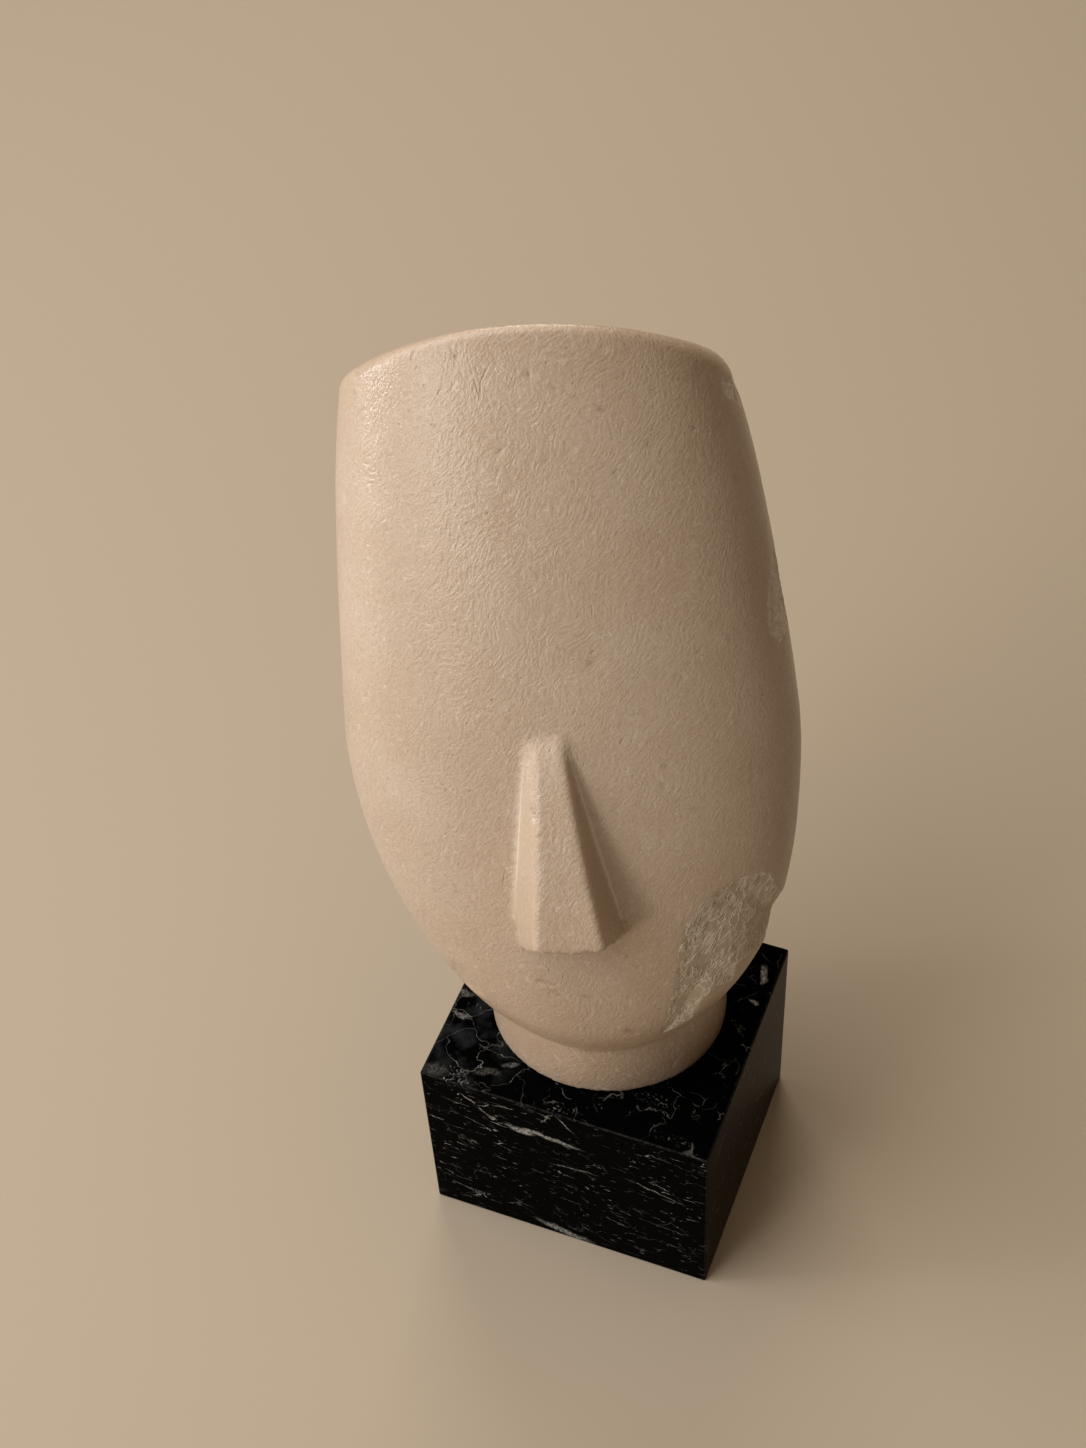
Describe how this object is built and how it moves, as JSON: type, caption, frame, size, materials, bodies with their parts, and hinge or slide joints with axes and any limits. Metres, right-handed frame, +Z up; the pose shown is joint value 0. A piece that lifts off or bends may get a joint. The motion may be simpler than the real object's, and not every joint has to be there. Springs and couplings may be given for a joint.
{
  "type": "abstract stone head replica on a plinth",
  "caption": "Long flat-faced abstract head with a wedge nose, leaning back on an oval neck that stands on a rectangular marble plinth.",
  "frame": {"origin": "middle of the plinth's underside", "axes": "+Z up through the plinth, +X along the plinth's width to the viewer's right, the face looks along -Y, turned a little to +X"},
  "size_m": [0.1424, 0.1351, 0.3436],
  "materials": {
    "cast_stone": "satin",
    "black_marble": "polished"
  },
  "bodies": {
    "root": {"head": "cast_stone", "plinth": "black_marble"}
  },
  "joints": []
}
